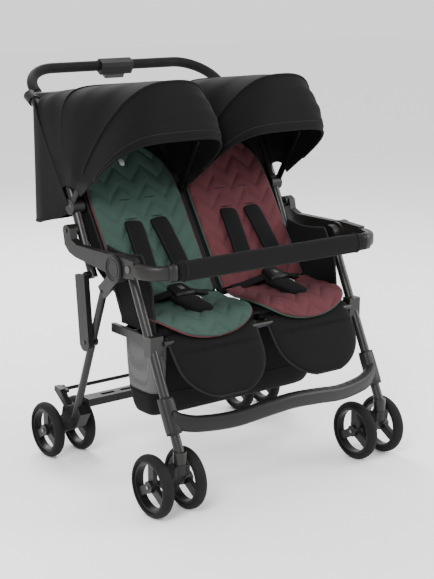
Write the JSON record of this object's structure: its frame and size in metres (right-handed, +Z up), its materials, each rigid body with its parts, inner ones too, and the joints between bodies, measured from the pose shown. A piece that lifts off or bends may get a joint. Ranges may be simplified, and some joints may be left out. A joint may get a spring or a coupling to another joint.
{
  "type": "twin folding stroller",
  "caption": "Folding side-by-side twin stroller with reversible quilted seats, canopies, bumper bar, footrest and swivel front wheels.",
  "frame": {"origin": "on the floor, under the middle of the stroller's bounding box", "axes": "+X across the stroller to the right-hand seat as seen from the front, the children face -Y, +Z up"},
  "size_m": [0.777, 0.8115, 1.025],
  "materials": {
    "tube": "satin warm dark grey",
    "plastic": "matte charcoal",
    "tyre": "matte black",
    "rim": "satin black",
    "axle": "plain steel",
    "black_cloth": "woven black",
    "green_liner": "quilted",
    "red_liner": "quilted",
    "mesh": "open mesh",
    "foam": "foam grip",
    "button": "satin grey",
    "webbing": "padded webbing"
  },
  "bodies": {
    "front_frame": {"front_leg_left": "tube", "front_leg_right": "tube", "hub_left": "plastic", "hub_right": "plastic", "seat_frame": "tube", "footrest_bar": "plastic", "seat_pad_left": "green_liner", "seat_pad_right": "red_liner", "buckle_left": "plastic", "buckle_right": "plastic", "basket": "mesh", "side_panels": "black_cloth"},
    "caster_left": {"caster_fork_left": "plastic", "front_axle_left": "axle"},
    "caster_right": {"caster_fork_right": "plastic", "front_axle_right": "axle"},
    "front_wheels_left": {"front_rims_left": "rim", "front_tyres_left": "tyre"},
    "front_wheels_right": {"front_rims_right": "rim", "front_tyres_right": "tyre"},
    "rear_frame": {"rear_leg_left": "tube", "rear_leg_right": "tube", "rear_crossbar": "plastic", "rear_bracket_left": "plastic", "rear_bracket_right": "plastic", "rear_axles": "axle"},
    "rear_wheels_left": {"rear_rims_left": "rim", "rear_tyres_left": "tyre"},
    "rear_wheels_right": {"rear_rims_right": "rim", "rear_tyres_right": "tyre"},
    "brake": {"brake_pedals": "plastic"},
    "armrests": {"armrest_left": "tube", "armrest_right": "tube", "bumper_core": "plastic", "bumper_cover": "black_cloth"},
    "button_left": {"bumper_button_left": "button"},
    "button_right": {"bumper_button_right": "button"},
    "handle": {"handle_tube_left": "tube", "handle_tube_right": "tube", "handle_crossbar": "plastic", "handle_loop": "plastic", "handle_grip": "foam", "fold_housing": "plastic", "canopy_mounts": "plastic", "canopy_rear_left": "black_cloth", "canopy_rear_right": "black_cloth", "rear_curtain": "black_cloth"},
    "trigger": {"fold_trigger": "button"},
    "canopy_left": {"canopy_front_left": "black_cloth"},
    "canopy_right": {"canopy_front_right": "black_cloth"},
    "lock_links": {"lock_link_left": "plastic", "lock_link_right": "plastic"},
    "back_left": {"backrest_left": "green_liner", "shoulder_pads_left": "webbing"},
    "back_right": {"backrest_right": "red_liner", "shoulder_pads_right": "webbing"},
    "calf_left": {"calf_rest_left": "black_cloth"},
    "calf_right": {"calf_rest_right": "black_cloth"}
  },
  "joints": [
    {"name": "caster_swivel_left", "type": "hinge", "parent": "front_frame", "child": "caster_left", "pos_m": [-0.322, -0.37, 0.13], "axis": [0, 0, 1], "continuous": true},
    {"name": "front_wheel_spin_left", "type": "hinge", "parent": "caster_left", "child": "front_wheels_left", "pos_m": [-0.324, -0.328, 0.07775], "axis": [1, 0, 0], "continuous": true},
    {"name": "caster_swivel_right", "type": "hinge", "parent": "front_frame", "child": "caster_right", "pos_m": [0.322, -0.37, 0.13], "axis": [0, 0, 1], "continuous": true},
    {"name": "front_wheel_spin_right", "type": "hinge", "parent": "caster_right", "child": "front_wheels_right", "pos_m": [0.324, -0.328, 0.07775], "axis": [1, 0, 0], "continuous": true},
    {"name": "fold", "type": "hinge", "parent": "front_frame", "child": "rear_frame", "pos_m": [0, -0.168, 0.576], "axis": [1, 0, 0], "range_deg": [-38, 0], "deforming": ["basket"]},
    {"name": "rear_wheel_spin_left", "type": "hinge", "parent": "rear_frame", "child": "rear_wheels_left", "pos_m": [-0.319, 0.176, 0.0742], "axis": [1, 0, 0], "continuous": true},
    {"name": "rear_wheel_spin_right", "type": "hinge", "parent": "rear_frame", "child": "rear_wheels_right", "pos_m": [0.319, 0.176, 0.0742], "axis": [1, 0, 0], "continuous": true},
    {"name": "brake_press", "type": "hinge", "parent": "rear_frame", "child": "brake", "pos_m": [0, 0.14, 0.131], "axis": [1, 0, 0], "range_deg": [-14, 0]},
    {"name": "armrest_turn", "type": "hinge", "parent": "front_frame", "child": "armrests", "pos_m": [0, -0.168, 0.576], "axis": [1, 0, 0], "range_deg": [-55, 0]},
    {"name": "handle_turn", "type": "hinge", "parent": "armrests", "child": "handle", "pos_m": [0, 0.055, 0.632], "axis": [1, 0, 0], "range_deg": [0, 55]},
    {"name": "lock_turn", "type": "hinge", "parent": "rear_frame", "child": "lock_links", "pos_m": [0, -0.012, 0.356], "axis": [1, 0, 0], "range_deg": [-38, 0]},
    {"name": "bumper_release_left", "type": "slide", "parent": "armrests", "child": "button_left", "axis": [1, 0, 0], "range_m": [0, 0.0025]},
    {"name": "bumper_release_right", "type": "slide", "parent": "armrests", "child": "button_right", "axis": [-1, 0, 0], "range_m": [0, 0.0025]},
    {"name": "fold_trigger_squeeze", "type": "slide", "parent": "handle", "child": "trigger", "axis": [0, -0.515, 0.8572], "range_m": [0, 0.004], "stiffness_N_per_m": 150},
    {"name": "canopy_fold_left", "type": "hinge", "parent": "handle", "child": "canopy_left", "pos_m": [0, 0.08, 0.685], "axis": [1, 0, 0], "range_deg": [-34, 0]},
    {"name": "canopy_fold_right", "type": "hinge", "parent": "handle", "child": "canopy_right", "pos_m": [0, 0.08, 0.685], "axis": [1, 0, 0], "range_deg": [-34, 0]},
    {"name": "recline_left", "type": "hinge", "parent": "handle", "child": "back_left", "pos_m": [0, -0.088, 0.436], "axis": [1, 0, 0], "range_deg": [-22, 0], "deforming": ["rear_curtain"]},
    {"name": "recline_right", "type": "hinge", "parent": "handle", "child": "back_right", "pos_m": [0, -0.088, 0.436], "axis": [1, 0, 0], "range_deg": [-22, 0]},
    {"name": "calf_lift_left", "type": "hinge", "parent": "front_frame", "child": "calf_left", "pos_m": [0, -0.272, 0.402], "axis": [1, 0, 0], "range_deg": [-52, 0]},
    {"name": "calf_lift_right", "type": "hinge", "parent": "front_frame", "child": "calf_right", "pos_m": [0, -0.272, 0.402], "axis": [1, 0, 0], "range_deg": [-52, 0]}
  ],
  "couplings": [
    {"joint": "armrest_turn", "follows": "fold", "ratio": 1.4474},
    {"joint": "handle_turn", "follows": "fold", "ratio": -1.4474},
    {"joint": "lock_turn", "follows": "fold", "ratio": 0.992}
  ]
}
